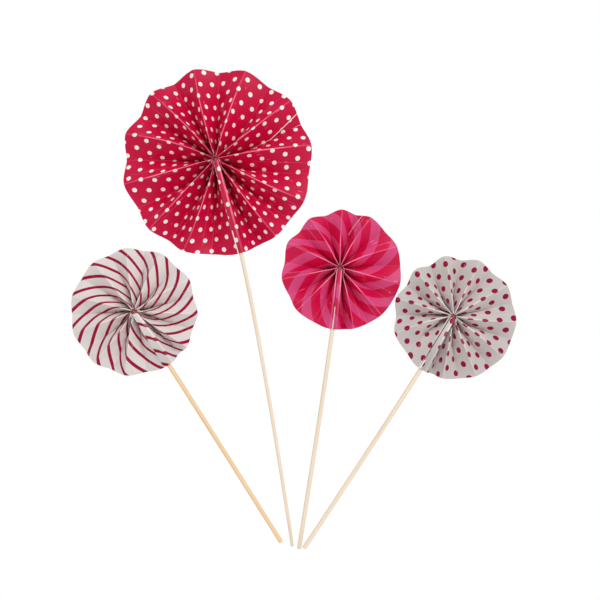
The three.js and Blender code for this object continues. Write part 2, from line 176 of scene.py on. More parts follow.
class Shader:
    """A material, its principled shader and what is needed to add nodes to it."""

    def __init__(self, name: str) -> None:
        """Starts an empty node material.

        Args:
            name: The material's name.
        """
        self.material = bpy.data.materials.new(name)
        self.material.use_nodes = True
        self.tree = self.material.node_tree
        self.tree.nodes.clear()
        self.output = self.node("ShaderNodeOutputMaterial", {}, {})
        self.surface = self.node("ShaderNodeBsdfPrincipled", {}, {})
        self.tree.links.new(self.surface.outputs[0], self.output.inputs["Surface"])

    def node(
        self, kind: str, settings: Mapping[str, object], inputs: Mapping[str | int, object]
    ) -> bpy.types.Node:
        """Adds one node.

        Args:
            kind: The node's type.
            settings: Attributes that are set before the sockets.
            inputs: Values, signals or output sockets for the node's inputs, by name or number.

        Returns:
            The new node.
        """
        made = self.tree.nodes.new(kind)
        for key, value in settings.items():
            setattr(made, key, value)
        for key, value in inputs.items():
            self.feed(made.inputs[key], value)
        return made

    def math(self, operation: str, *values: Signal | float) -> Signal:
        """Result of a Math node on values in their order."""
        made = self.node("ShaderNodeMath", {"operation": operation}, dict(enumerate(values)))
        return Signal(self, made.outputs[0])

    def feed(self, socket: bpy.types.NodeSocket, value: object) -> None:
        """Links a signal or an output to a socket, or sets a plain value on it.

        Args:
            socket: The input socket.
            value: What it gets.
        """
        if isinstance(value, Signal):
            self.tree.links.new(value.socket, socket)
        elif isinstance(value, bpy.types.NodeSocket):
            self.tree.links.new(value, socket)
        elif isinstance(value, tuple) and len(value) == 3 and socket.type == "RGBA":
            socket.default_value = (*value, 1.0)
        else:
            socket.default_value = value

    def dress(self, values: Mapping[str, object]) -> None:
        """Feeds sockets of the principled shader, by name."""
        for key, value in values.items():
            self.feed(self.surface.inputs[key], value)

    def flat(self) -> bpy.types.NodeSocket:
        """Place on the flat strip as a vector in millimetres."""
        return self.node("ShaderNodeUVMap", {"uv_map": FLAT_MAP}, {}).outputs[0]

    def flat_place(self) -> tuple[Signal, Signal]:
        """The flat place as two values, along the strip and out from the hub."""
        parts = self.node("ShaderNodeSeparateXYZ", {}, {0: self.flat()}).outputs
        return Signal(self, parts[0]), Signal(self, parts[1])

    def flat_vector(self, along: float = 1.0, across: float = 1.0) -> bpy.types.NodeSocket:
        """The flat place as a vector, stretched by a factor along and one across."""
        values = {"Vector": self.flat(), "Scale": (along, across, 1.0)}
        return self.node("ShaderNodeMapping", {}, values).outputs[0]

    def object_place(self) -> bpy.types.NodeSocket:
        """Place on the piece in metres."""
        return self.node("ShaderNodeTexCoord", {}, {}).outputs["Object"]

    def cloud(
        self, where: bpy.types.NodeSocket, scale: float, detail: float = 3.0, roughness: float = 0.5
    ) -> Signal:
        """Noise about one half, read at a vector, with a scale, finer layers and their weight."""
        values = {"Vector": where, "Scale": scale, "Detail": detail, "Roughness": roughness}
        return Signal(self, self.node("ShaderNodeTexNoise", {}, values).outputs[0])

    def mix(self, share: Signal | float, first: object, second: object) -> bpy.types.NodeSocket:
        """Blends two colours, or outputs with one; the share is how much of the second shows."""
        made = self.node("ShaderNodeMix", {"data_type": "RGBA"}, {0: share, 6: first, 7: second})
        return made.outputs[2]

    def scaled(self, colour: object, factor: Signal) -> bpy.types.NodeSocket:
        """A colour made lighter or darker by a factor."""
        made = self.node("ShaderNodeVectorMath", {"operation": "SCALE"}, {0: colour, "Scale": factor})
        return made.outputs[0]

    def relief(self, height: Signal, depth: float, strength: float) -> bpy.types.NodeSocket:
        """A bump of a depth in metres and a strength."""
        made = self.node("ShaderNodeBump", {}, {"Height": height, "Distance": depth, "Strength": strength})
        return made.outputs[0]


@dataclass(frozen=True)
class Pattern:
    """A printed pattern on the flat strip.

    Attributes:
        kind: Dots or stripes.
        ink: Colour of the dots or stripes.
        pitch: Distance between neighbours, square to a stripe.
        size: Diameter of a dot or width of a stripe.
        slant: Direction of a row or stripe, in degrees from along the strip.
        start: Where the first one lies, along the strip and out from the hub.
    """

    kind: Print
    ink: Rgb
    pitch: float
    size: float
    slant: float
    start: tuple[float, float] = (0.0, 0.0)

    def mask(self, shader: Shader, along: Signal, out: Signal, ragged: Signal, phase: float) -> Signal:
        """Where the ink is.

        Args:
            shader: The material's shader.
            along: Place along the flat strip.
            out: Place out from the hub.
            ragged: Small wandering of the ink's edge, in millimetres.
            phase: Where on the printed sheet the strip was cut, along it.

        Returns:
            1 on the ink and 0 beside it.
        """
        turn = math.radians(self.slant)
        shifted = (along - (self.start[0] - phase), out - self.start[1])
        a = shifted[0] * math.cos(turn) + shifted[1] * math.sin(turn)
        b = shifted[1] * math.cos(turn) - shifted[0] * math.sin(turn)
        edge = self.size / 2
        if self.kind is Print.STRIPES:
            rows = b / self.pitch
            gap = abs(rows - rows.rounded()) * self.pitch
            return (gap + ragged).band(edge + INK_BLUR, edge - INK_BLUR)
        rise = self.pitch * math.sqrt(3) / 2
        near: Signal | None = None
        for shift in (0.0, 0.5):
            rows = b / (2 * rise) + shift
            cells = a / self.pitch + shift
            up = (rows - rows.rounded()) * (2 * rise)
            side = (cells - cells.rounded()) * self.pitch
            far = (up * up + side * side).root()
            near = far if near is None else near.math("MINIMUM", far)
        return (near + ragged).band(edge + INK_BLUR * 1.4, edge - INK_BLUR * 1.4)


@dataclass(frozen=True)
class Pleats:
    """Where a shader is on a folded strip, in millimetres on the flat sheet.

    Attributes:
        along: Place along the strip.
        out: Place out from the hub.
        panel: Width of a panel, from fold to fold.
        reach: Length of a fold, from the hub to the rim.
        gap: Distance to the nearest fold.
        inward: 0 on an outer fold and 1 on an inner one.
    """

    along: Signal
    out: Signal
    panel: float
    reach: float
    gap: Signal
    inward: Signal

    @classmethod
    def of(cls, shader: Shader, strip: "Strip") -> "Pleats":
        """Reads the place from the strip's UV map.

        Args:
            shader: The material's shader.
            strip: The strip.

        Returns:
            The place.
        """
        along, out = shader.flat_place()
        panel = strip.fan.sheet_panel
        folds = along / panel
        gap = abs(folds - folds.rounded()) * panel
        pairs = along / (2 * panel)
        inward = abs(pairs - pairs.rounded()) * 2
        return cls(along, out, panel, strip.fan.radius, gap, inward)

    def out_band(self, low: float, high: float) -> Signal:
        """A smooth step between two shares of the way out to the rim."""
        return self.out.band(self.reach * low, self.reach * high)


@dataclass(frozen=True)
class PaperFinish:
    """Printed paper.

    Attributes:
        name: Name that the back's material starts with.
        ground: Colour between the ink.
        pattern: What is printed on it.
        worn: Colour of a crease, which is wear on the paper and a painted highlight together.
        wear: How much of that colour shows on an outer fold.
        kept: How much less of it shows where there is ink.
        worn_to: Share of the way out at which that fades.
        stray: How much stray creases and painted glints show.
        glow: Painted light: how much lighter it is deep in the folds near the hub, standing in for light that
            comes through the paper.
        roughness: Roughness of the coated side.
        gloss: Specular level.
    """

    name: str
    ground: Rgb
    pattern: Pattern
    worn: Rgb
    wear: float
    kept: float
    worn_to: float
    stray: float
    glow: float
    roughness: float
    gloss: float

    def printed(self, strip: "Strip") -> bpy.types.Material:
        """The printed side of a strip: worn and painted-highlight creases, painted shade and painted light in
        its folds.

        Args:
            strip: The strip.

        Returns:
            The material.
        """
        shader = Shader(strip.name + "_printed")
        pleats = Pleats.of(shader, strip)
        flat = shader.flat_vector()
        ragged = (shader.cloud(flat, 2.2) - 0.5) * 0.16
        ink = self.pattern.mask(shader, pleats.along, pleats.out, ragged, strip.phase)
        colour = shader.mix(ink, self.ground, self.pattern.ink)
        speck = shader.cloud(flat, 5.5, 2.0).band(0.62, 0.8)
        colour = shader.mix(speck * 0.06, colour, self.worn)
        # Painted shade and painted light in the folds.
        colour = shader.scaled(colour, self.shade(shader, pleats))
        rubbed = self.rubbed(shader, pleats, ink)
        # Wear and painted highlights on the creases, and painted glints.
        colour = shader.mix(rubbed, colour, self.worn)
        fibre = shader.cloud(flat, 2.6, 5.0, 0.62)
        sheen = shader.cloud(shader.flat_vector(0.1, 0.05), 1.0, 2.0).band(0.3, 0.7)
        shader.dress(
            {
                "Base Color": colour,
                "Roughness": sheen * 0.1 + (self.roughness - 0.05) + rubbed * 0.2,
                "Specular IOR Level": self.gloss,
                "Normal": shader.relief(fibre, 0.00006, 0.5),
            }
        )
        return shader.material

    def shade(self, shader: Shader, pleats: Pleats) -> Signal:
        """Painted shade in the inner folds near the hub and on the hem, painted light deep in the folds, and
        a faint random tone.

        Args:
            shader: The material's shader.
            pleats: Where it is on the strip.

        Returns:
            A factor on the colour.
        """
        tone = shader.cloud(shader.flat_vector(), 0.16, 4.0).band(0.3, 0.7)
        deep = pleats.out_band(0.8, 0.15)
        # Painted shade: a dark line along each inner fold near the hub.
        painted_fold_shade = pleats.gap.band(*SHADE_LINE) * pleats.inward.band(0.7, 0.9) * deep
        # Painted shade deep between the panels near the hub.
        painted_core_shade = pleats.inward.band(0.1, 0.7) * pleats.out_band(0.32, 0.05)
        # Painted shade on the hem.
        painted_hem_shade = pleats.along.band(0.3, -0.3)
        painted_shade = (1.0 - painted_fold_shade * 0.7) * (1.0 - painted_core_shade * 0.27) * (1.0 - tone * 0.03 - painted_hem_shade * 0.2)
        # Painted light deep in the folds near the hub, then the painted shade.
        return (deep * self.glow + 1.0) * painted_shade

    def rubbed(self, shader: Shader, pleats: Pleats, ink: Signal) -> Signal:
        """Wear with a painted highlight on the outer folds and stray creases, and painted glints.

        Args:
            shader: The material's shader.
            pleats: Where it is on the strip.
            ink: Where the ink is, which wears less.

        Returns:
            How much of the worn and painted-highlight colour shows.
        """
        outer = pleats.inward.band(0.3, 0.1) * 0.82 + 0.18
        patchy = shader.cloud(shader.flat_vector(0.5, 0.16), 1.0, 4.0, 0.65).band(0.3, 0.62)
        fades = pleats.out_band(self.worn_to, self.worn_to * 0.4) * 0.85 + 0.15
        # Wear and a painted highlight along the outer folds.
        line = pleats.gap.band(*RUB_LINE) * outer * (patchy * 0.5 + 0.5) * fades * self.wear
        beside_hem = 1.0 - abs(pleats.along).band(2.0, 0.4) * 0.35
        line = line * (1.0 - ink * self.kept) * beside_hem
        line = line.math("MAXIMUM", self.strays(shader, pleats) * patchy * self.stray)
        # Painted glints: small bright marks of the worn colour, scattered over the paper.
        painted_glints = shader.cloud(shader.flat_vector(0.95, 0.2), 1.0, 0.0).band(0.77, 0.82) * self.stray
        return line.math("MAXIMUM", painted_glints)

    def strays(self, shader: Shader, pleats: Pleats) -> Signal:
        """Stray creases, which run out over some of the panels.

        Args:
            shader: The material's shader.
            pleats: Where it is on the strip.

        Returns:
            1 on a crease and 0 beside it.
        """
        cell = (pleats.along / pleats.panel).math("FLOOR")
        dice = shader.node("ShaderNodeTexWhiteNoise", {"noise_dimensions": "1D"}, {"W": cell})
        thrown = shader.node("ShaderNodeSeparateColor", {}, {0: dice.outputs["Color"]})
        spot, lean, chosen = (Signal(shader, thrown.outputs[i]) for i in range(3))
        crease = (cell + 0.3 + spot * 0.4) * pleats.panel + (lean - 0.5) * pleats.out * 0.22
        lasts = pleats.out_band(0.3, 0.5) * pleats.out_band(0.98, 0.75)
        return abs(pleats.along - crease).band(*STRAY_LINE) * lasts * chosen.band(0.4, 0.7)

    def plain(self) -> bpy.types.Material:
        """Makes the unprinted back and the raw cut edge, with a little of the ink showing through.

        Returns:
            The material.
        """
        shader = Shader(self.name + "_back")
        flat = shader.flat_vector()
        through = tuple(0.86 + 0.06 * c for c in self.ground)
        tone = shader.cloud(flat, 0.3, 4.0).band(0.3, 0.75)
        colour = shader.mix(tone * 0.5, (0.84, 0.82, 0.79), tuple(c * 0.9 for c in through))
        fibre = shader.cloud(flat, 3.2, 6.0, 0.68)
        shader.dress(
            {
                "Base Color": colour,
                "Roughness": 0.82,
                "Specular IOR Level": 0.25,
                "Normal": shader.relief(fibre, 0.00008, 0.7),
            }
        )
        return shader.material


@dataclass(frozen=True)
class WoodFinish:
    """Bare round stick of pale wood.

    Attributes:
        name: The material's name.
        pale: Colour of the early wood.
        dark: Colour of the grain.
    """

    name: str
    pale: Rgb
    dark: Rgb

    def material(self, covered: float) -> bpy.types.Material:
        """Fine grain that runs along the stick, with pores, and painted shade where the fan hides it and on
        its top end.

        Args:
            covered: Length of the stick that the fan covers.

        Returns:
            The material.
        """
        shader = Shader(self.name)
        streaks = shader.cloud(shader.flat_vector(1.6, 0.035), 1.0, 5.0, 0.6)
        broad = shader.cloud(shader.flat_vector(0.3, 0.012), 1.0, 3.0)
        pores = shader.cloud(shader.flat_vector(6.0, 0.35), 1.0, 3.0, 0.7).band(0.62, 0.74)
        colour = shader.mix(streaks.band(0.35, 0.68) * 0.55, self.pale, self.dark)
        colour = shader.mix(broad.band(0.35, 0.7) * 0.4, colour, tuple(c * 0.86 for c in self.pale))
        colour = shader.mix(pores * 0.35, colour, tuple(c * 0.55 for c in self.dark))
        up = shader.flat_place()[1] + (broad - 0.5) * 1.5
        # Painted shade, dark red-brown, over the part of the stick that the fan hides.
        painted_shade_under_fan = up.band(-covered, 2.0 - covered) * 0.92
        colour = shader.mix(painted_shade_under_fan, colour, (0.13, 0.04, 0.03))
        # Darker painted shade on the stick's top end in the hub.
        colour = shader.mix(up.band(-3.4, -2.0) * 0.8, colour, (0.3, 0.08, 0.05))
        shader.dress(
            {
                "Base Color": colour,
                "Roughness": 0.5 + streaks * 0.25,
                "Specular IOR Level": 0.35,
                "Normal": shader.relief(streaks + pores * 0.5, 0.00012, 0.6),
            }
        )
        return shader.material


@dataclass(frozen=True)
class GlueFinish:
    """Set hot glue: milky, glossy and a little uneven.

    Attributes:
        name: The material's name.
        colour: Its colour, apart from faint clouds.
    """

    name: str = "clear_glue"
    colour: Rgb = (0.8, 0.74, 0.6)

    def material(self) -> bpy.types.Material:
        """Makes glue with faint clouds in it and a wavy skin.

        Returns:
            The material.
        """
        shader = Shader(self.name)
        where = shader.object_place()
        cloudy = shader.cloud(where, 420.0, 3.0)
        colour = shader.mix(cloudy.band(0.35, 0.7) * 0.5, self.colour, (0.68, 0.58, 0.42))
        shader.dress(
            {
                "Base Color": colour,
                "Roughness": 0.16 + cloudy * 0.2,
                "Specular IOR Level": 0.5,
                "Normal": shader.relief(shader.cloud(where, 700.0, 2.0), 0.0002, 0.5),
            }
        )
        return shader.material


class Bench:
    """The few modelling steps that the pieces share."""

    @staticmethod
    def clear() -> None:
        """Leaves edit mode and deselects everything."""
        if bpy.context.object is not None and bpy.context.object.mode != "OBJECT":
            bpy.ops.object.mode_set(mode="OBJECT")
        bpy.ops.object.select_all(action="DESELECT")

    @staticmethod
    def pick(piece: bpy.types.Object) -> None:
        """Selects one piece alone and makes it the active one.

        Args:
            piece: The piece.
        """
        Bench.clear()
        piece.select_set(True)
        bpy.context.view_layer.objects.active = piece

    @staticmethod
    def modify(piece: bpy.types.Object, kind: str, **settings: object) -> None:
        """Adds a modifier and applies it.

        Args:
            piece: The piece to change.
            kind: The modifier's type.
            settings: Its settings.
        """
        Bench.pick(piece)
        made = piece.modifiers.new(kind.title(), kind)
        for key, value in settings.items():
            setattr(made, key, value)
        bpy.ops.object.modifier_apply(modifier=made.name)

    @staticmethod
    def settle(piece: bpy.types.Object, place: Matrix) -> None:
        """Puts a piece in its place and leaves the place in its mesh.

        Args:
            piece: A piece that was worked on about the origin, in millimetres.
            place: Where it goes, in millimetres.
        """
        piece.data.transform(Matrix.Diagonal((MM, MM, MM, 1.0)) @ place @ piece.matrix_basis)
        piece.matrix_basis = Matrix.Identity(4)
        piece.data.update()

    @staticmethod
    def map_flat(piece: bpy.types.Object, spots: Sequence[tuple[float, float]]) -> None:
        """Makes a piece's only UV map.

        Args:
            piece: The piece.
            spots: One place for each corner of its faces.
        """
        layers = piece.data.uv_layers
        while layers:
            layers.remove(layers[0])
        for corner, spot in zip(layers.new(name=FLAT_MAP).data, spots):
            corner.uv = spot

    @staticmethod
    def coat(piece: bpy.types.Object, material: bpy.types.Material, angle: float | None = None) -> None:
        """Gives a piece its material and shades it smooth.

        Args:
            piece: The piece.
            material: Its material.
            angle: Sharpest angle that is still smooth, in degrees, or none for all.
        """
        piece.data.materials.clear()
        piece.data.materials.append(material)
        Bench.pick(piece)
        if angle is None:
            bpy.ops.object.shade_smooth()
        else:
            bpy.ops.object.shade_smooth_by_angle(angle=math.radians(angle))

    @staticmethod
    def sheet(name: str, rows: Sequence[Row], outs: Sequence[float]) -> bpy.types.Object:
        """Lays a flat sheet of quads out and folds it.

        Args:
            name: The sheet's name.
            rows: Its rows of points, each point with its place along the flat strip.
            outs: Each row's place out from the hub.

        Returns:
            The sheet, with its flat places in its UV map.
        """
        Bench.clear()
        columns, lines = len(rows[0]) - 1, len(rows) - 1
        bpy.ops.mesh.primitive_grid_add(x_subdivisions=columns, y_subdivisions=lines, size=1.0)
        sheet = bpy.context.object
        sheet.name = name
        flat = []
        for vertex in sheet.data.vertices:
            line = round((vertex.co.y + 0.5) * lines)
            point, along = rows[line][round((vertex.co.x + 0.5) * columns)]
            flat.append((along, outs[line]))
            vertex.co = point
        Bench.map_flat(sheet, [flat[loop.vertex_index] for loop in sheet.data.loops])
        return sheet

    @staticmethod
    def drawn_out(name: str, sides: int, rings: Sequence[tuple[Vector, float]]) -> bpy.types.Object:
        """A round body, drawn out of a circle ring by ring and closed at both ends.

        Args:
            name: The body's name.
            sides: Number of its sides.
            rings: Centre and radius of each ring, in order, all square to one axis, Z.

        Returns:
            The body.
        """
        Bench.clear()
        (start, radius), *others = rings
        bpy.ops.mesh.primitive_circle_add(vertices=sides, radius=radius, fill_type="NGON", location=start)
        body = bpy.context.object
        body.name = name
        bpy.ops.object.mode_set(mode="EDIT")
        bpy.ops.mesh.select_all(action="SELECT")
        centre = start
        for place, wide in others:
            bpy.ops.mesh.extrude_region_move(TRANSFORM_OT_translate={"value": place - centre})
            share = wide / radius
            bpy.ops.transform.resize(value=(share, share, 1.0), center_override=place)
            centre, radius = place, wide
        bpy.ops.mesh.select_all(action="SELECT")
        bpy.ops.mesh.normals_make_consistent(inside=False)
        bpy.ops.object.mode_set(mode="OBJECT")
        return body


@dataclass(frozen=True)
class Spot:
    """A point of a fan in polar form: distance from the hub, direction and height."""

    radius: float
    angle: float
    height: float

    def towards(self, other: "Spot", share: float) -> "Spot":
        """Goes a share of the way to another point, round the hub.

        Args:
            other: The other point.
            share: Share of the way to it.

        Returns:
            The point between them.
        """
        return Spot(
            self.radius + (other.radius - self.radius) * share,
            self.angle + (other.angle - self.angle) * share,
            self.height + (other.height - self.height) * share,
        )

    def point(self) -> Vector:
        """The point in the fan's own flat frame."""
        return Vector((self.radius * math.cos(self.angle), self.radius * math.sin(self.angle), self.height))


@dataclass(frozen=True)
class Join:
    """Where two strips meet at an inner fold, with a slanted glued tab on one of them.

    Attributes:
        valley: Number of the inner fold.
        towards: 1 where the tab lies on the panel after the fold, -1 on the one before it.
        width: Width of the tab at the rim.
        margin: Width of the bare paper at its edge.
        start: Share of the radius at which the tab begins.
    """

    valley: int
    towards: int
    width: float
    margin: float
    start: float = 0.6


@dataclass(frozen=True)
class Hem:
    """The end of the strip that is folded over the stick.

    Attributes:
        hub_width: Its width at the hub.
        spread: How much wider it gets for each millimetre out.
        widest: Its greatest width.
        past: How far its fold stands past the stick's slot at the rim.
        gap: Dark gap between it and the strip's other end.
        bare_from: Share of the way out from which bare paper shows at its raw edge.
    """

    hub_width: float
    spread: float
    widest: float
    past: float
    gap: float
    bare_from: float


@dataclass
class Fan:
    """A pleated fan, laid out flat and folded round its stick.

    Attributes:
        radius: Distance from the hub to the end of an outer fold.
        dip: How much nearer the hub the inner folds end.
        dip_swing: How much deeper they end on one side.
        dip_towards: Direction of that side, degrees anticlockwise from +X.
        off_centre: How far the rim is off the hub.
        off_towards: Direction of that.
        panel: Width of a panel from fold to fold.
        seam: Direction of the stick from the hub.
        ridge_turns: Directions of the outer folds, degrees anticlockwise from the stick.
        ridge_leans: How far each outer fold leans over at the hub, in degrees.
        valley_leans: The same for the inner folds.
        hem: The end over the stick.
        join: Where two strips meet, if the fan has two.
        seed: Start of the fan's own unevenness.
    """

    radius: float
    dip: float
    dip_swing: float
    dip_towards: float
    off_centre: float
    off_towards: float
    panel: float
    seam: float
    ridge_turns: Sequence[float]
    ridge_leans: Sequence[float]
    valley_leans: Sequence[float]
    hem: Hem
    join: Join | None
    seed: float

    def __post_init__(self) -> None:
        """Works out the slot, the hem's heights, each fold's direction and lean, and the flat panel."""
        self.slot_half = (STICK + 2 * STICK_CLEARANCE + PAPER) / 2
        self.hub = self.slot_half + HUB_MARGIN
        self.hem_hub = self.panel / 2
        self.hem_rim = self.hem_hub * RIM_HEM_HEIGHT
        self.tilt = math.atan((self.hem_hub - self.hem_rim) / (self.radius - self.hub))
        self.stick_depth = PAPER / 2 + STICK_CLEARANCE + STICK / 2
        ridges = [0.0, *self.ridge_turns, 360.0]
        self.turns: list[float] = []
        self.leans: list[float] = []
        for before, after in zip(ridges, ridges[1:]):
            self.turns += [before, (before + after) / 2]
        for pair in zip([0.0, *self.ridge_leans], self.valley_leans):
            self.leans += pair
        self.turns.append(360.0)
        self.leans.append(0.0)
        self.last = len(self.turns) - 1
        room = 2 * math.pi * self.radius / self.last
        rise = math.sqrt(self.panel**2 - room**2) * (1 - RIM_FLATNESS)
        self.sheet_panel = math.hypot(room, rise)

    def stick_plane(self) -> float:
        """How far in front of the fan's middle the stick's middle line lies."""
        return self.hem_hub * math.cos(self.tilt) + self.hub * math.sin(self.tilt) - self.stick_depth

    def slot_angle(self, radius: float) -> float:
        """Half the angle that the stick's slot takes at a radius."""
        return math.asin(self.slot_half / radius)

    def fold_end(self, index: int) -> float:
        """Works out where a fold ends.

        Args:
            index: Number of the fold.

        Returns:
            Distance from the hub.
        """
        world = self.seam + self.turns[index]
        end = self.radius + self.off_centre * math.cos(math.radians(world - self.off_towards))
        if index % 2:
            end -= self.dip + self.dip_swing * math.cos(math.radians(world - self.dip_towards))
        return end

    def fold_start(self, index: int) -> float:
        """Works out where a fold starts, nearer the hub where no stick is in its way.

        Args:
            index: Number of the fold.

        Returns:
            Distance from the hub.
        """
        if index in (0, self.last):
            return self.slot_half
        away = min(self.turns[index], 360 - self.turns[index])
        share = min(1.0, max(0.0, (away - HOLE_FROM) / (HOLE_TO - HOLE_FROM)))
        return self.hub + (HUB_HOLE - self.hub) * share * share * (3 - 2 * share)

    def row(self, out: float) -> list[Spot]:
        """All folds at a share of the way from the hub to the rim.

        Args:
            out: 0 at the hub and 1 at the rim.

        Returns:
            One point for each fold, from the hem's fold to the raised end.
        """
        starts = [self.fold_start(i) for i in range(self.last + 1)]
        reach = [start + (self.fold_end(i) - start) * out for i, start in enumerate(starts)]
        rim_slot = self.slot_angle(self.radius)
        angles = []
        for i, turn in enumerate(self.turns):
            steady = rim_slot + math.radians(turn) * (1 - rim_slot / math.pi)
            spot = Vector((i * 3.7, out * 2.6, self.seed))
            wander = noise.noise(spot) * FOLD_WANDER / max(reach[i], STEADY_WITHIN)
            angles.append(steady + math.radians(self.leans[i]) * (1 - out) + wander)
        spread = (2 * math.pi - 2 * self.slot_angle(self.hub)) / self.last * HUB_SPACING
        gaps = [spread * self.hub / max(r, self.hub) for r in reach]
        past = self.hem.past * out - HEM_TUCK * (1 - out) ** 4
        low = [math.asin((self.slot_half + past) / max(r, self.hub)) for r in reach]
        high = 2 * math.pi - self.slot_angle(max(reach[-1], self.hub))
        angles[0], angles[-1] = low[0], high
        for i in range(1, self.last):
            angles[i] = max(angles[i], angles[i - 1] + gaps[i])
        for i in range(self.last - 1, 0, -1):
            angles[i] = min(angles[i], angles[i + 1] - gaps[i])
        angles[0] = math.asin((self.slot_half + past) / reach[0])
        angles[-1] = 2 * math.pi - math.asin(min(0.98, self.slot_half / reach[-1]))
        spots = []
        for i, (radius, angle) in enumerate(zip(reach, angles)):
            if i in (0, self.last):
                height = self.hem_hub + (self.hem_rim - self.hem_hub) * out
            else:
                chord = radius * (angles[i + 1] - angles[i - 1]) / 2
                flattest = self.panel * FLATTEST_PLEAT
                rise = math.sqrt(max(self.panel**2 - chord**2, flattest**2))
                height = (-rise if i % 2 else rise) / 2 * (1 - RIM_FLATNESS * out**2)
            spots.append(Spot(radius, angle, height))
        return spots

    def hem_edge(self, row: Sequence[Spot]) -> Spot:
        """Finds the hem's raw edge beside the stick.

        Args:
            row: The folds at one distance from the hub.

        Returns:
            The edge at that distance.
        """
        fold = row[0]
        width = min(self.hem.widest, self.hem.hub_width + self.hem.spread * (fold.radius - self.hub))
        return Spot(fold.radius, fold.angle - width / fold.radius, fold.height + HEM_LIFT)

    def raised_end(self, row: Sequence[Spot]) -> Spot:
        """The strip's other end, which stands beside the stick under the hem."""
        end = row[self.last]
        return Spot(end.radius, end.angle, end.height - PAPER - END_DROP)

    def lap_edge(self, row: Sequence[Spot]) -> Spot:
        """Finds the raw edge of the strip's other end, bent over the stick up to the hem's raw edge.

        Args:
            row: The folds at one distance from the hub.

        Returns:
            The edge at that distance.
        """
        end = self.raised_end(row)
        edge = self.hem_edge(row).angle + 2 * math.pi - self.hem.gap / end.radius
        return Spot(end.radius, max(edge, end.angle + 0.05 / end.radius), end.height + LAP_LIFT)

    def surface(self, ends: Sequence[Spot], panel: int, share: float, out: float) -> tuple[Vector, Vector]:
        """A point on a panel.

        Args:
            ends: The folds at this distance from the hub.
            panel: Number of the panel.
            share: Share of the way across it.
            out: Share of the way from the hub.

        Returns:
            The point and the direction square to the paper, towards the front.
        """
        a, b = ends[panel], ends[panel + 1]
        middle = a.towards(b, share)
        outward = Vector((math.cos(middle.angle), math.sin(middle.angle), 0.0))
        across = b.point() - a.point()
        normal = outward.cross(across).normalized()
        eased = (1 - math.cos(math.pi * share)) / 2 - share
        swell = self.bulge(panel, share, out, across.xy.length)
        straight = a.point() + across * share
        round_off = middle.point() + outward * (eased * (b.radius - a.radius))
        return straight.lerp(round_off, out**3) + normal * swell, normal

    def bulge(self, panel: int, across: float, out: float, width: float) -> float:
        """How far a panel swells off its plane, as folded paper does.

        Args:
            panel: Number of the panel.
            across: Share of the way across it.
            out: Share of the way from the hub.
            width: Room that the panel takes there.

        Returns:
            The swelling, towards the front.
        """
        wave = noise.noise(Vector((panel * 5.1 + self.seed, out * 2.1, across * 1.3)))
        ripple = noise.noise(Vector((panel * 2.3, out * 6.0 + self.seed, across * 4.0))) * 0.35
        swell = math.sin(math.pi * across) * math.sin(math.pi * min(1.0, out * 1.15))
        return (wave + ripple) * swell * min(0.55, width * 0.13)

    def place(self) -> Matrix:
        """Turns the flat fan so that its hem lies along the stick, which points down."""
        return Matrix.Rotation(-self.tilt, 4, "X") @ Matrix.Rotation(-math.pi / 2, 4, "Z")


# Shares of the way out at which a strip has a line of points, closer together near the hub.
OUTWARD = tuple((i / 44) ** 1.25 for i in range(45))


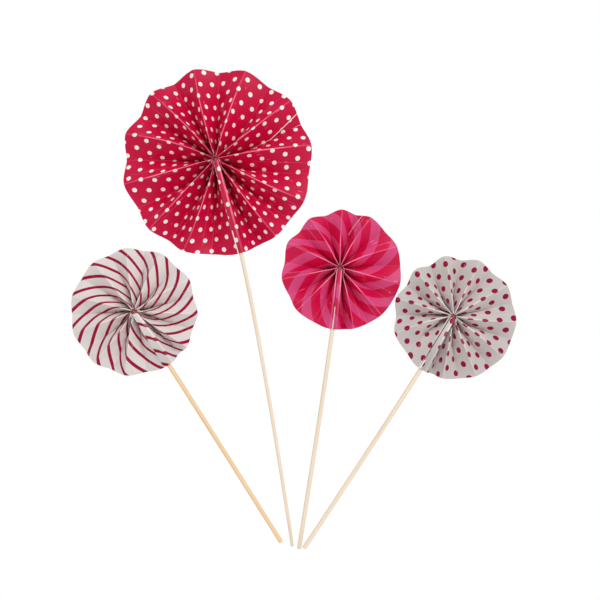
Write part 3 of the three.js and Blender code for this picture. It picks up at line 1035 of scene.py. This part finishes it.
@dataclass
class Strip:
    """One strip of paper, from one fold of its fan to another.

    Attributes:
        name: The CAD node that it stands for.
        fan: The fan that it belongs to.
        first: Number of its first fold.
        last: Number of its last fold.
        phase: Where on the printed sheet the strip was cut, along it.
        side: Which of its ends, if any, carries a tab: -1 the first, 1 the last, 0 none.
    """

    name: str
    fan: Fan
    first: int
    last: int
    phase: float
    side: int

    def columns(self) -> list[tuple[int, float]]:
        """Lists the lines of points across the strip, closer together beside a fold.

        Returns:
            Each line as a panel's number and a share of the way across it.
        """
        soft = FOLD_ROUND / self.fan.panel
        near = (0.0, soft / 2, soft, soft + 0.02, 0.18, 0.33, 0.5)
        across = [*near, *(1 - s for s in reversed(near[1:-1]))]
        lines = [(i, s) for i in range(self.first, self.last) for s in across]
        if self.first == 0:
            lines = [(-1, s) for s in (0.0, 0.15, 0.5, 0.9)] + lines
        lines.append((self.last - 1, 1.0))
        if self.last == self.fan.last:
            lines += [(self.last, s) for s in (0.12, 0.4, 0.7, 1.0)]
        return lines

    def sheet_row(self, out: float, columns: Sequence[tuple[int, float]]) -> Row:
        """The strip at one distance from the hub.

        Args:
            out: Share of the way from the hub to the rim.
            columns: The lines of points.

        Returns:
            Each line's point, with its place along the flat strip.
        """
        fan = self.fan
        row = fan.row(out)
        ends = list(row)
        if self.last == fan.last:
            ends[-1] = fan.raised_end(row)
        if fan.join is not None and self.side == 0:
            bare, other = (self.first, 1) if self.first == fan.join.valley else (self.last, -1)
            ends[bare] = row[bare].towards(row[bare + other], JOIN_SETBACK / fan.panel)
        points = []
        for panel, share in columns:
            if panel in (-1, fan.last):
                start, end = (fan.hem_edge(row), row[0]) if panel < 0 else (ends[-1], fan.lap_edge(row))
                width = (end.point() - start.point()).length
                along = -(1 - share) * width if panel < 0 else fan.last * fan.sheet_panel + share * width
                points.append((start.towards(end, share).point(), along))
            else:
                point = fan.surface(ends, panel, share, out)[0]
                points.append((point, (panel + share) * fan.sheet_panel))
        return self.soften(points, columns)

    def soften(self, points: Row, columns: Sequence[tuple[int, float]]) -> Row:
        """Rounds the creases off, over a crease's own width on both sides.

        Args:
            points: The row's points and their places along the strip.
            columns: The lines of points.

        Returns:
            The row with soft creases.
        """
        soft = list(points)
        for i, (panel, share) in enumerate(columns):
            if share != 0.0 or i < 4 or i + 2 >= len(points):
                continue
            low, mid, high = points[i - 2][0], points[i][0], points[i + 2][0]
            for step, t in ((-1, 0.25), (0, 0.5), (1, 0.75)):
                bent = low * (1 - t) ** 2 + mid * (2 * t * (1 - t)) + high * t**2
                soft[i + step] = (bent, points[i + step][1])
        return soft

    def folded(self) -> bpy.types.Object:
        """Lays the strip out flat and folds it.

        Returns:
            The sheet, with its flat places in a UV map.
        """
        columns = self.columns()
        reach = self.fan.radius - self.fan.hub
        rows = [self.sheet_row(out, columns) for out in OUTWARD]
        sheet = Bench.sheet(self.name + "_folded", rows, [out * reach for out in OUTWARD])
        if self.first == 0:
            self.bare(sheet, 0, len(columns), self.fan.hem.bare_from)
        return sheet

    @staticmethod
    def bare(sheet: bpy.types.Object, column: int, columns: int, start: float) -> None:
        """Leaves the print off a column of faces, as at a raw edge.

        Args:
            sheet: A sheet made as a grid.
            column: The column's number.
            columns: Number of lines of points along the sheet.
            start: Share of the way across the sheet at which the bare part starts.
        """
        for face in sheet.data.polygons:
            line, place = divmod(face.index, columns - 1)
            face.material_index = int(place == column and line >= start * (len(OUTWARD) - 1))

    def ink_ends(self, sheet: bpy.types.Object) -> None:
        """Lets the print's colour reach over the cut edges at the strip's ends, short of the bare part.

        Args:
            sheet: The thickened sheet.
        """
        places = sheet.data.uv_layers[FLAT_MAP].data
        bare = self.fan.hem.bare_from * (self.fan.radius - self.fan.hub)
        for face in sheet.data.polygons:
            along, out = zip(*(places[i].uv for i in face.loop_indices))
            narrow = min(max(along) - min(along), max(out) - min(out)) < CUT_EDGE
            if narrow and max(out) < bare:
                face.material_index = 0

    def tab(self, name: str, lift: float, inset: float) -> bpy.types.Object:
        """A slanted wedge over the other strip's nearest panel: the glued tab or the glue under it.

        Args:
            name: The wedge's name.
            lift: How far it lies in front of the panel.
            inset: How far its edges lie inside the tab's.

        Returns:
            The wedge's sheet.
        """
        fan = self.fan
        join = fan.join
        steps, lines = 14, 7
        first = join.start + (1 - join.start) * inset * 1.5 / join.width
        last = 1 - inset * 0.5 / fan.radius
        shares = [first + (last - first) * i / steps for i in range(steps + 1)]
        panel = join.valley if join.towards > 0 else join.valley - 1
        rows: list[Row] = []
        for out in shares:
            folds = fan.row(out)
            room = (folds[panel + 1].point() - folds[panel].point()).length
            near = TAB_START + inset * 0.5
            far = TAB_START + join.width * (out - join.start) / (1 - join.start) - inset
            printed = max(0.02, far - near - join.margin)
            widths = [near + printed * k / (lines - 2) for k in range(lines - 1)]
            row = []
            for width in (*widths, max(far, near + 0.03)):
                across = width / room
                share = across if join.towards > 0 else 1 - across
                point, normal = fan.surface(folds, panel, share, out)
                row.append((point + normal * lift, (join.valley + join.towards * across) * fan.sheet_panel))
            rows.append(row if join.towards > 0 else row[::-1])
        sheet = Bench.sheet(name, rows, [out * (fan.radius - fan.hub) for out in shares])
        self.bare(sheet, lines - 2 if join.towards > 0 else 0, lines, 0.0)
        return sheet

    def thicken(
        self,
        sheet: bpy.types.Object,
        printed: bpy.types.Material,
        plain: bpy.types.Material,
        thickness: float = PAPER,
    ) -> None:
        """Gives a sheet its thickness, with the print on the front alone.

        Args:
            sheet: The folded sheet.
            printed: Material of the front.
            plain: Material of the back and the cut edge.
            thickness: How thick it is.
        """
        sheet.data.materials.append(printed)
        sheet.data.materials.append(plain)
        front = sum(face.normal.z * face.area for face in sheet.data.polygons)
        if front < 0:
            sheet.data.flip_normals()
        Bench.modify(
            sheet,
            "SOLIDIFY",
            thickness=thickness,
            offset=0.0,
            use_rim=True,
            material_offset=1,
            material_offset_rim=1,
        )
        Bench.pick(sheet)
        bpy.ops.object.shade_smooth_by_angle(angle=math.radians(CREASE_ANGLE))

    def made(self, place: Matrix, printed: bpy.types.Material, plain: bpy.types.Material) -> bpy.types.Object:
        """Makes the strip.

        Args:
            place: Where the flat fan goes.
            printed: Material of the front.
            plain: Material of the back.

        Returns:
            The finished piece.
        """
        sheet = self.folded()
        self.thicken(sheet, printed, plain)
        self.ink_ends(sheet)
        if self.fan.join is not None and self.side != 0:
            tab = self.tab(self.name + "_tab", TAB_LIFT, 0.0)
            self.thicken(tab, printed, plain)
            Bench.pick(sheet)
            tab.select_set(True)
            bpy.ops.object.join()
        Bench.settle(sheet, place)
        return sheet

    def film(self, name: str, place: Matrix, glue: bpy.types.Material) -> bpy.types.Object:
        """Makes the film of glue under the tab.

        Args:
            name: The film's name.
            place: Where the flat fan goes.
            glue: The glue's material.

        Returns:
            The finished piece.
        """
        sheet = self.tab(name, FILM_LIFT, FILM_INSET)
        self.thicken(sheet, glue, glue, FILM_THICKNESS)
        Bench.settle(sheet, place)
        return sheet


@dataclass
class Stick:
    """A round stick that bows gently below the fan.

    Attributes:
        name: The CAD node that it stands for.
        rim: Where the bow starts, measured down from the hub.
        reach: Where the stick ends.
        bow: How far its lower end is aside.
        finish: Its wood.
        taper: Thickness of its lower end as a share of the upper one's.
        top: How far its upper end stands above the hub.
        power: How late the bow sets in.
        sides: Number of its sides.
    """

    name: str
    rim: float
    reach: float
    bow: float
    finish: WoodFinish
    taper: float
    top: float = 0.6
    power: float = 1.3
    sides: int = 28

    def centre(self, down: float) -> Vector:
        """The middle of the stick at a depth below the hub, with its length along Z."""
        past = max(0.0, (down - self.rim) / (self.reach - self.rim))
        return Vector((self.bow * past**self.power, 0.0, -down))

    def made(self, place: Matrix) -> bpy.types.Object:
        """Draws the stick out, rounds its cut ends a little and maps its grain.

        Args:
            place: Where the pick's frame goes, with the stick along its -Y.

        Returns:
            The finished piece.
        """
        soft = 0.16
        steps = 40
        span = self.reach + self.top
        rings = [(self.centre(-self.top), STICK / 2 - soft), (self.centre(-self.top + soft), STICK / 2)]
        for i in range(1, steps):
            down = -self.top + span * i / steps
            wobble = noise.noise(Vector((down * 0.05, self.reach, 0.0))) * 0.03
            thick = 1 + (self.taper - 1) * max(0.0, down) / self.reach
            rings.append((self.centre(down), STICK / 2 * thick + wobble))
        end = STICK / 2 * self.taper
        rings += [(self.centre(self.reach - soft), end), (self.centre(self.reach), end - soft)]
        body = Bench.drawn_out(self.name + "_turned", self.sides, rings)
        Bench.map_flat(body, self.grain(body))
        Bench.coat(body, self.finish.material(self.rim - 3.0), 40)
        Bench.settle(body, place @ Matrix.Rotation(-math.pi / 2, 4, "X"))
        return body

    def grain(self, body: bpy.types.Object) -> list[tuple[float, float]]:
        """Places round and along the stick, or across a cut end, for the corners of its faces.

        Args:
            body: The stick.

        Returns:
            One place for each corner, face by face.
        """
        around = math.pi * STICK
        spots = []
        for face in body.data.polygons:
            corners = [body.data.vertices[i].co for i in face.vertices]
            if abs(face.normal.z) > 0.9:
                spots += [(co.x * 2.0, co.y * 20.0 if co.z < 0 else co.y * 0.5 + 1.5) for co in corners]
                continue
            offsets = [co - self.centre(-co.z) for co in corners]
            turns = [math.atan2(offset.y, offset.x) / (2 * math.pi) for offset in offsets]
            for co, turn in zip(corners, turns):
                past_seam = 1.0 if max(turns) - turn > 0.5 else 0.0
                spots.append(((turn + past_seam) * around, co.z))
        return spots


@dataclass
class Glue:
    """Hot glue behind a fan.

    Attributes:
        name: The CAD node that it stands for.
        fan: The fan that it holds.
        seed: Start of its unevenness.
    """

    name: str
    fan: Fan
    seed: int


@dataclass
class GlueDab(Glue):
    """The dab on the back of a hub, with a plug in the hole.

    Attributes:
        overlap: How far it reaches past the hub.
        thickness: How thick it is behind the fan.
    """

    overlap: float = 3.2
    thickness: float = 1.6

    def made(self, place: Matrix, glue: bpy.types.Material) -> bpy.types.Object:
        """Draws the dab out of a circle and lets it slump unevenly.

        Args:
            place: Where the flat fan goes.
            glue: The glue's material.

        Returns:
            The finished piece.
        """
        fan = self.fan
        wide = fan.hub + self.overlap
        plug = HUB_HOLE - 0.15
        floor = -fan.panel / 2 - PAPER / 2 - 0.1
        top = fan.hem_hub - fan.stick_depth - STICK / 2 - STICK_CLEARANCE - 0.2
        profile = [(top, plug * 0.7), (top - 0.4, plug), (floor + 0.5, plug), (floor - 0.05, plug + 0.6)]
        profile += [(floor - 0.12, wide * 0.9), (floor - 0.45, wide), (floor - 0.9, wide * 0.93)]
        profile += [(floor - self.thickness * 0.85, wide * 0.66), (floor - self.thickness, wide * 0.3)]
        rings = [(Vector((0, 0, z)), r) for z, r in profile]
        body = Bench.drawn_out(self.name + "_set", 28, rings)
        Bench.pick(body)
        bpy.ops.object.mode_set(mode="EDIT")
        bpy.ops.mesh.select_all(action="SELECT")
        bpy.ops.transform.vertex_random(offset=0.16, uniform=0.4, normal=0.3, seed=self.seed)
        bpy.ops.mesh.vertices_smooth(factor=0.5, repeat=2)
        bpy.ops.object.mode_set(mode="OBJECT")
        Bench.modify(body, "SUBSURF", levels=2, render_levels=2)
        Bench.coat(body, glue)
        Bench.settle(body, place)
        return body


@dataclass
class GlueBead(Glue):
    """The bead behind a stick, in the slot between the strip's two ends.

    Attributes:
        inset: How far it stops short of the rim.
        height: How thick it is from front to back.
    """

    inset: float = 4.0
    height: float = 1.2

    def made(self, place: Matrix, glue: bpy.types.Material) -> bpy.types.Object:
        """Draws the bead out along the stick, thick and thin by turns.

        Args:
            place: Where the pick's frame goes, with the stick along its -Y.
            glue: The glue's material.

        Returns:
            The finished piece.
        """
        start = self.fan.hub + 3.2
        end = self.fan.radius - self.inset
        steps = 14
        rings = []
        for i in range(steps + 1):
            t = i / steps
            taper = math.sqrt(max(0.05, 1 - (2 * t - 1) ** 6))
            thick = 1 + 0.12 * noise.noise(Vector((i * 0.9, self.seed, 0.0)))
            rings.append((Vector((0, 0, -start - (end - start) * t)), STICK / 2 * taper * thick))
        body = Bench.drawn_out(self.name + "_set", 16, rings)
        Bench.modify(body, "SUBSURF", levels=1, render_levels=1)
        Bench.coat(body, glue)
        depth = -STICK / 2 - STICK_CLEARANCE - self.height / 2
        flatten = Matrix.Diagonal((1.0, self.height / STICK, 1.0, 1.0))
        turn = Matrix.Rotation(-math.pi / 2, 4, "X")
        Bench.settle(body, place @ Matrix.Translation((0, 0, depth)) @ turn @ flatten)
        return body


@dataclass
class Pick:
    """A fan on its stick: the body that is pushed into the cake.

    Attributes:
        name: The CAD body.
        fan: Its fan.
        paper: Its paper.
        wood: Its stick's wood.
        tip: Where the stick's lower end comes, across and up.
        reach: Length of the stick from the hub to the tip.
        bow: How far the stick bows aside.
        phases: Where its strips were cut from the printed sheet.
        taper: Thickness of the stick's lower end as a share of the upper one's.
        layer: How far in front of the set's middle plane the pick is.
    """

    name: str
    fan: Fan
    paper: PaperFinish
    wood: WoodFinish
    tip: tuple[float, float]
    reach: float
    bow: float
    phases: Sequence[float]
    taper: float = 1.0
    layer: float = 0.0

    def frame(self) -> Matrix:
        """Works out the pick's own frame, hub at the origin and stick along -Y.

        Returns:
            That frame, in the part's frame.
        """
        turn = Matrix.Rotation(math.radians(self.fan.seam + 90), 4, "Z")
        tip = turn @ Vector((self.bow, -self.reach, 0.0))
        move = Matrix.Translation((self.tip[0] - tip.x, self.tip[1] - tip.y, self.layer))
        return Matrix.Rotation(math.pi / 2, 4, "X") @ move @ turn

    def strips(self) -> list[Strip]:
        """Lists the strips of paper that the fan is folded from.

        Returns:
            One strip, or two where the fan has a join.
        """
        fan = self.fan
        if fan.join is None:
            return [Strip(self.name + "_pleated_strip", fan, 0, fan.last, self.phases[0], 0)]
        valley, towards = fan.join.valley, fan.join.towards
        names = ("_short_strip", "_long_strip")
        spans = ((0, valley), (valley, fan.last))
        sides = (1 if towards > 0 else 0, 0 if towards > 0 else -1)
        return [
            Strip(self.name + name, fan, *span, phase, side)
            for name, span, phase, side in zip(names, spans, self.phases, sides)
        ]

    def build(self, glue: bpy.types.Material) -> None:
        """Makes every piece of the pick and hands it to the frame.

        Args:
            glue: The glue's material.
        """
        seat = self.frame()
        flat = seat @ self.fan.place()
        along = seat @ Matrix.Translation((0, 0, self.fan.stick_plane()))
        plain = self.paper.plain()
        for strip in self.strips():
            printed = self.paper.printed(strip)
            self.hand_in(strip.made(flat, printed, plain), strip.name)
            if strip.side != 0:
                node = self.name + "_tab_glue"
                self.hand_in(strip.film(node + "_film", flat, glue), node)
        stick = Stick(self.name + "_stick", self.fan.radius, self.reach, self.bow, self.wood, self.taper)
        self.hand_in(stick.made(along), stick.name)
        for kind, suffix, place in ((GlueDab, "_centre_glue", flat), (GlueBead, "_stick_glue", along)):
            blob = kind(self.name + suffix, self.fan, int(self.fan.seed))
            self.hand_in(blob.made(place, glue), blob.name)

    def hand_in(self, piece: bpy.types.Object, node: str) -> None:
        """Lets a piece stand for a CAD node.

        Args:
            piece: The finished piece.
            node: The node's name.
        """
        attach(piece, self.name)
        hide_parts(node)
        log.info("%s: %d faces", piece.name, len(piece.data.polygons))


# Each worn colour below is wear and a painted highlight on the creases together.
RED_DOTTED = PaperFinish(
    name="red_paper",
    ground=(0.55, 0.001, 0.047),
    pattern=Pattern(Print.DOTS, (0.9, 0.87, 0.85), 7.46, 2.55, -9.0, (6.88, 3.36)),
    worn=(1.0, 0.19, 0.32),
    wear=1.5,
    kept=0.85,
    worn_to=0.95,
    stray=0.5,
    glow=0.2,
    roughness=0.42,
    gloss=0.2,
)
TWO_PINKS = PaperFinish(
    name="pink_paper",
    ground=(0.6, 0.001, 0.06),
    pattern=Pattern(Print.STRIPES, (0.66, 0.06, 0.2), 10.81, 5.2, 45.0, (2.99, 0.0)),
    worn=(1.0, 0.36, 0.54),
    wear=1.3,
    kept=0.35,
    worn_to=0.6,
    stray=0.5,
    glow=0.24,
    roughness=0.42,
    gloss=0.24,
)
CRIMSON_STRIPED = PaperFinish(
    name="striped_paper",
    ground=(0.715, 0.66, 0.648),
    pattern=Pattern(Print.STRIPES, (0.32, 0.008, 0.042), 6.15, 1.62, 44.5, (0.32, 0.0)),
    worn=(0.95, 0.87, 0.85),
    wear=0.6,
    kept=0.6,
    worn_to=0.6,
    stray=0.2,
    glow=0.2,
    roughness=0.7,
    gloss=0.05,
)
CRIMSON_DOTTED = PaperFinish(
    name="dotted_paper",
    ground=(0.555, 0.51, 0.502),
    pattern=Pattern(Print.DOTS, (0.28, 0.008, 0.041), 7.37, 3.1, 23.5, (6.27, 4.26)),
    worn=(0.97, 0.91, 0.89),
    wear=1.1,
    kept=0.85,
    worn_to=0.5,
    stray=0.2,
    glow=0.4,
    roughness=0.7,
    gloss=0.05,
)
PALE_WOOD = WoodFinish("pale_wood", (0.92, 0.78, 0.62), (0.8, 0.6, 0.42))
GOLDEN_WOOD = WoodFinish("golden_wood", (0.92, 0.67, 0.4), (0.78, 0.47, 0.21))

BIG_HEM = Hem(hub_width=1.7, spread=0.12, widest=3.0, past=0.0, gap=0.7, bare_from=0.78)
STRIPED_HEM = Hem(hub_width=2.7, spread=0.085, widest=5.4, past=1.3, gap=0.7, bare_from=1.0)
PINK_HEM = Hem(hub_width=2.2, spread=0.0, widest=2.2, past=0.6, gap=0.3, bare_from=0.68)
DOTTED_HEM = Hem(hub_width=2.3, spread=0.055, widest=3.9, past=1.3, gap=0.75, bare_from=0.85)


def picks() -> list[Pick]:
    """Describes the four picks, each layer clear in front of the last.

    Returns:
        The picks.
    """
    big = Pick(
        name="big_fan",
        fan=Fan(
            radius=53.3,
            dip=1.9,
            dip_swing=0.3,
            dip_towards=120,
            off_centre=0.5,
            off_towards=310,
            panel=15.5,
            seam=-74.9,
            ridge_turns=(21.5, 49, 83.5, 113.5, 147, 179, 209.5, 239, 270, 302, 326.5),
            ridge_leans=(-2, -4, 3, 1, 4, 4, -6, -9, 1, 0, 7),
            valley_leans=(-5, -3, -5, 1, -5, 5, -1, -9, -6, 6, 4, 0),
            hem=BIG_HEM,
            join=Join(valley=7, towards=1, width=6.5, margin=0.45),
            seed=3.0,
        ),
        paper=RED_DOTTED,
        wood=PALE_WOOD,
        tip=(0.0, 0.0),
        reach=216.5,
        bow=-14.6,
        phases=(0.0, -1.12),
        taper=0.8,
    )
    striped = Pick(
        name="striped_fan",
        fan=Fan(
            radius=33.5,
            dip=1.15,
            dip_swing=0.7,
            dip_towards=0,
            off_centre=0.7,
            off_towards=190,
            panel=10.4,
            seam=-56.8,
            ridge_turns=(20.5, 52.5, 86.5, 122, 156, 188.5, 224.5, 258, 290.5, 320.5),
            ridge_leans=(-1, 0, 2, 3, -3, -3, -2, 0, 5, -1),
            valley_leans=(0, 0, 2, 3, -2, -3, -2, -3, 4, 4, -4),
            hem=STRIPED_HEM,
            join=None,
            seed=11.0,
        ),
        paper=CRIMSON_STRIPED,
        wood=GOLDEN_WOOD,
        tip=(-5.6, 9.9),
        reach=141.8,
        bow=-1.6,
        phases=(0.0,),
    )
    pink = Pick(
        name="pink_fan",
        fan=Fan(
            radius=32.4,
            dip=0.95,
            dip_swing=0.8,
            dip_towards=130,
            off_centre=1.35,
            off_towards=320,
            panel=10.4,
            seam=-96.9,
            ridge_turns=(16.5, 46.5, 80.5, 116, 154.5, 184.5, 218.5, 252.5, 289.5, 324),
            ridge_leans=(6, 0, 0, 8, 8, 2, -6, -3, 0, 0),
            valley_leans=(5, 5, -2, 4, 8, 2, 0, 2, 9, 6, 6),
            hem=PINK_HEM,
            join=Join(valley=11, towards=-1, width=4.0, margin=0.15),
            seed=23.0,
        ),
        paper=TWO_PINKS,
        wood=PALE_WOOD,
        tip=(3.7, 2.6),
        reach=151.5,
        bow=-3.6,
        phases=(0.0, -0.51),
    )
    dotted = Pick(
        name="dotted_fan",
        fan=Fan(
            radius=32.4,
            dip=1.3,
            dip_swing=1.2,
            dip_towards=135,
            off_centre=1.6,
            off_towards=330,
            panel=10.4,
            seam=-121.4,
            ridge_turns=(19, 51.5, 81, 115.5, 149.5, 184, 218.5, 251, 286, 320.5),
            ridge_leans=(2, -4, 2, -6, 1, 2, -4, 3, -2, -8),
            valley_leans=(0, -2, 2, -4, -2, 2, 0, 0, 0, -5, -4),
            hem=DOTTED_HEM,
            join=None,
            seed=37.0,
        ),
        paper=CRIMSON_DOTTED,
        wood=PALE_WOOD,
        tip=(6.3, 6.8),
        reach=142.9,
        bow=-3.3,
        phases=(0.0,),
    )
    big.layer = -big.fan.stick_plane()
    pink.layer = big.layer + (big.fan.panel + pink.fan.panel) / 2 + LAYER_GAP
    striped.layer = pink.layer + pink.fan.panel + LAYER_GAP
    dotted.layer = striped.layer
    return [big, striped, pink, dotted]


@dataclass
class Studio:
    """Camera, soft light and a pale floor.

    Attributes:
        eye: Where the camera stands, in millimetres.
        lens: Focal length on a 36 mm sensor.
        floor: Height of the floor.
        ambient: Strength of the light from all round.
    """

    eye: tuple[float, float, float] = (4.2, -428.14, 135.43)
    lens: float = 46.67
    floor: float = -105.0
    ambient: float = 0.63

    def place_camera(self) -> None:
        """Stands the camera level, facing the fans."""
        data = bpy.data.cameras.new("camera")
        data.lens = self.lens
        data.sensor_width = 36.0
        data.clip_start = 0.01
        data.clip_end = 20.0
        camera = bpy.data.objects.new("camera", data)
        bpy.context.scene.collection.objects.link(camera)
        camera.location = Vector(self.eye) * MM
        camera.rotation_euler = (math.radians(90), 0.0, 0.0)
        bpy.context.scene.camera = camera

    def lamp(self, name: str, place: Vector, aim: Vector, size: float, power: float) -> None:
        """Adds a square soft lamp.

        Args:
            name: The lamp's name.
            place: Where it hangs, in metres.
            aim: What it faces.
            size: Length of its side.
            power: Its power in watts.
        """
        data = bpy.data.lights.new(name, "AREA")
        data.size = size
        data.energy = power
        lamp = bpy.data.objects.new(name, data)
        bpy.context.scene.collection.objects.link(lamp)
        lamp.location = place
        lamp.rotation_euler = (aim - place).to_track_quat("-Z", "Y").to_euler()

    def light(self) -> None:
        """Hangs the lamps: a large one up at the right and a broad weak one at the front."""
        aim = Vector((-0.02, 0.0, 0.16))
        self.lamp("key", Vector((0.34, -0.85, 0.66)), aim, 0.6, 4.1)
        self.lamp("front", Vector((0.05, -1.2, 0.3)), aim, 0.8, 1.9)

    def surround(self) -> None:
        """Fills the world: white to the eye and in reflections, softer as a light."""
        world = bpy.data.worlds.new("studio")
        bpy.context.scene.world = world
        world.use_nodes = True
        tree = world.node_tree
        tree.nodes.clear()
        output = tree.nodes.new("ShaderNodeOutputWorld")
        mixed = tree.nodes.new("ShaderNodeMixShader")
        path = tree.nodes.new("ShaderNodeLightPath")
        soft, white = (tree.nodes.new("ShaderNodeBackground") for _ in range(2))
        seen, also = (tree.nodes.new("ShaderNodeMath") for _ in range(2))
        seen.operation = also.operation = "MAXIMUM"
        soft.inputs["Color"].default_value = (1.0, 0.985, 0.965, 1.0)
        soft.inputs["Strength"].default_value = self.ambient
        white.inputs["Color"].default_value = (1.0, 1.0, 1.0, 1.0)
        links = (
            (path.outputs["Is Camera Ray"], seen.inputs[0]),
            (path.outputs["Is Glossy Ray"], seen.inputs[1]),
            (seen.outputs[0], also.inputs[0]),
            (path.outputs["Is Transmission Ray"], also.inputs[1]),
            (also.outputs[0], mixed.inputs[0]),
            (soft.outputs[0], mixed.inputs[1]),
            (white.outputs[0], mixed.inputs[2]),
            (mixed.outputs[0], output.inputs[0]),
        )
        for start, end in links:
            tree.links.new(start, end)

    def lay_floor(self) -> None:
        """Lays a round pale floor that fades out at its rim and keeps the object's shadow."""
        Bench.clear()
        place = (0.0, -0.16, self.floor * MM)
        bpy.ops.mesh.primitive_circle_add(vertices=96, radius=0.36, fill_type="NGON", location=place)
        ground = bpy.context.object
        ground.name = "floor"
        shader = Shader("floor")
        shader.dress({"Base Color": (0.92, 0.92, 0.92), "Roughness": 0.9})
        where = shader.node("ShaderNodeVectorMath", {"operation": "LENGTH"}, {0: shader.object_place()})
        fade = Signal(shader, where.outputs["Value"]).band(0.34, 0.2)
        shader.dress({"Alpha": fade})
        ground.data.materials.append(shader.material)

    def set_up(self) -> None:
        """Makes the studio."""
        self.place_camera()
        self.light()
        self.surround()
        self.lay_floor()
        bpy.context.scene.view_settings.view_transform = "Standard"


def main() -> None:
    """Builds the studio and the four picks."""
    logging.basicConfig(level=logging.INFO, format="%(name)s %(message)s")
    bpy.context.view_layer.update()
    Studio().set_up()
    glue = GlueFinish().material()
    for pick in picks():
        pick.build(glue)
        log.info("%s done", pick.name)


if __name__ == "__main__":
    main()
